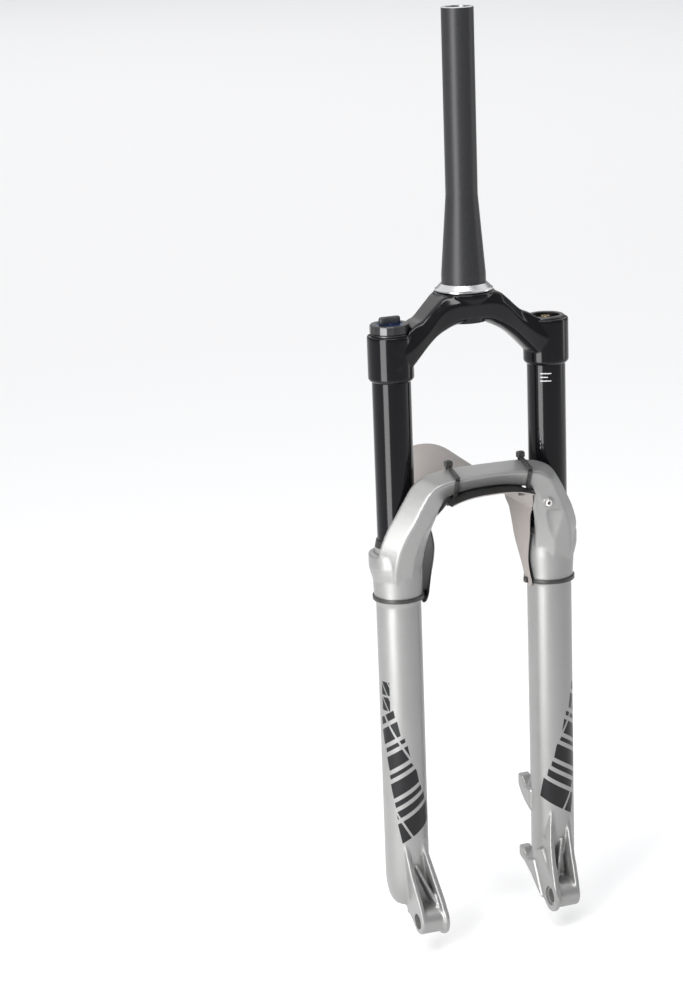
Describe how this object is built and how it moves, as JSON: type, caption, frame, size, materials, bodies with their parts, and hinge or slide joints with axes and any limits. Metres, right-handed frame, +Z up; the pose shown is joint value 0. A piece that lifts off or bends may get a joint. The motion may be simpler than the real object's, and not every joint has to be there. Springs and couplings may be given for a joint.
{
  "type": "suspension fork",
  "caption": "Telescopic bicycle suspension fork: tapered steerer, single black crown and stanchions, silver one-piece lowers with arch, thin fender held by cable ties, through-axle dropouts.",
  "frame": {"origin": "steerer axis at the crown's seat for the lower bearing race", "axes": "+Z up along the steerer, -Y towards the front of the bicycle, +X towards the rider's left (brake side)"},
  "size_m": [0.2042, 0.172, 0.843],
  "materials": {
    "steerer_black": "satin black anodised",
    "race_steel": "turned, bright",
    "crown_black": "high gloss black",
    "stanchion_black": "hard anodised, polished black",
    "cap_gunmetal": "gloss gunmetal anodised",
    "machined_aluminium": "machined",
    "seal_rubber": "matt",
    "valve_brass": "turned",
    "spacer_plastic": "moulded",
    "spring_steel": "blued",
    "shaft_steel": "polished",
    "lowers_silver": "metallic silver under clear lacquer",
    "fender_plastic": "thin sheet, black outside and warm grey inside",
    "dial_blue": "blue anodised",
    "grip_black": "gloss black anodised",
    "rebound_red": "red anodised",
    "tie_plastic": "moulded nylon",
    "bushing_bronze": "lined bearing",
    "foam": "oiled open foam"
  },
  "bodies": {
    "uppers": {"steerer_tube": "steerer_black", "crown_race": "race_steel", "crown": "crown_black", "stanchion_damper": "stanchion_black", "stanchion_air": "stanchion_black", "damper_top_cap": "cap_gunmetal", "damper_cap_plug": "machined_aluminium", "damper_cap_seal": "seal_rubber", "compression_valve": "machined_aluminium", "damper_bladder": "seal_rubber", "damper_tube": "machined_aluminium", "damper_seal_head": "machined_aluminium", "air_top_cap": "cap_gunmetal", "air_cap_seal": "seal_rubber", "air_valve_body": "valve_brass", "volume_spacers": "spacer_plastic", "air_seal_head": "machined_aluminium", "air_retaining_ring": "spring_steel", "topout_bumper": "seal_rubber"},
    "lowers": {"lowers_casting": "lowers_silver", "upper_bushing_damper": "bushing_bronze", "upper_bushing_air": "bushing_bronze", "lower_bushing_damper": "bushing_bronze", "lower_bushing_air": "bushing_bronze", "foam_ring_damper": "foam", "foam_ring_air": "foam", "dust_wiper_damper": "seal_rubber", "dust_wiper_air": "seal_rubber", "rebound_shaft": "shaft_steel", "rebound_piston": "machined_aluminium", "damper_foot_bolt": "shaft_steel", "damper_foot_washer": "spacer_plastic", "air_shaft": "machined_aluminium", "air_piston": "spacer_plastic", "air_piston_seal": "seal_rubber", "bottomout_bumper": "seal_rubber", "air_foot_bolt": "shaft_steel", "air_foot_washer": "spacer_plastic", "fender": "fender_plastic", "arch_tie_left": "tie_plastic", "arch_tie_right": "tie_plastic", "leg_tie_left": "tie_plastic", "leg_tie_right": "tie_plastic"},
    "compression_ring": {"compression_knob": "cap_gunmetal"},
    "low_speed_adjuster": {"low_speed_dial": "dial_blue", "dial_grip": "grip_black", "compression_needle": "shaft_steel"},
    "rebound_adjuster": {"rebound_knob": "rebound_red", "rebound_needle": "shaft_steel"},
    "valve_core": {"air_valve_pin": "valve_brass"}
  },
  "joints": [
    {"name": "fork_travel", "type": "slide", "parent": "uppers", "child": "lowers", "axis": [0, 0, 1], "range_m": [0, 0.14], "stiffness_N_per_m": 4500, "springref_m": -0.03},
    {"name": "compression_ring_turn", "type": "hinge", "parent": "uppers", "child": "compression_ring", "pos_m": [-0.0758, -0.0083, -0.026], "axis": [0, 0, 1], "range_deg": [-90, 0]},
    {"name": "low_speed_turn", "type": "hinge", "parent": "uppers", "child": "low_speed_adjuster", "pos_m": [-0.0758, -0.0083, -0.023], "axis": [0, 0, 1], "range_deg": [-135, 135]},
    {"name": "rebound_turn", "type": "hinge", "parent": "lowers", "child": "rebound_adjuster", "pos_m": [-0.0758, -0.0083, -0.57], "axis": [0, 0, 1], "range_deg": [-270, 270]},
    {"name": "valve_pin_press", "type": "slide", "parent": "uppers", "child": "valve_core", "axis": [0, 0, -1], "range_m": [0, 0.0012], "stiffness_N_per_m": 800, "springref_m": -0.001}
  ]
}
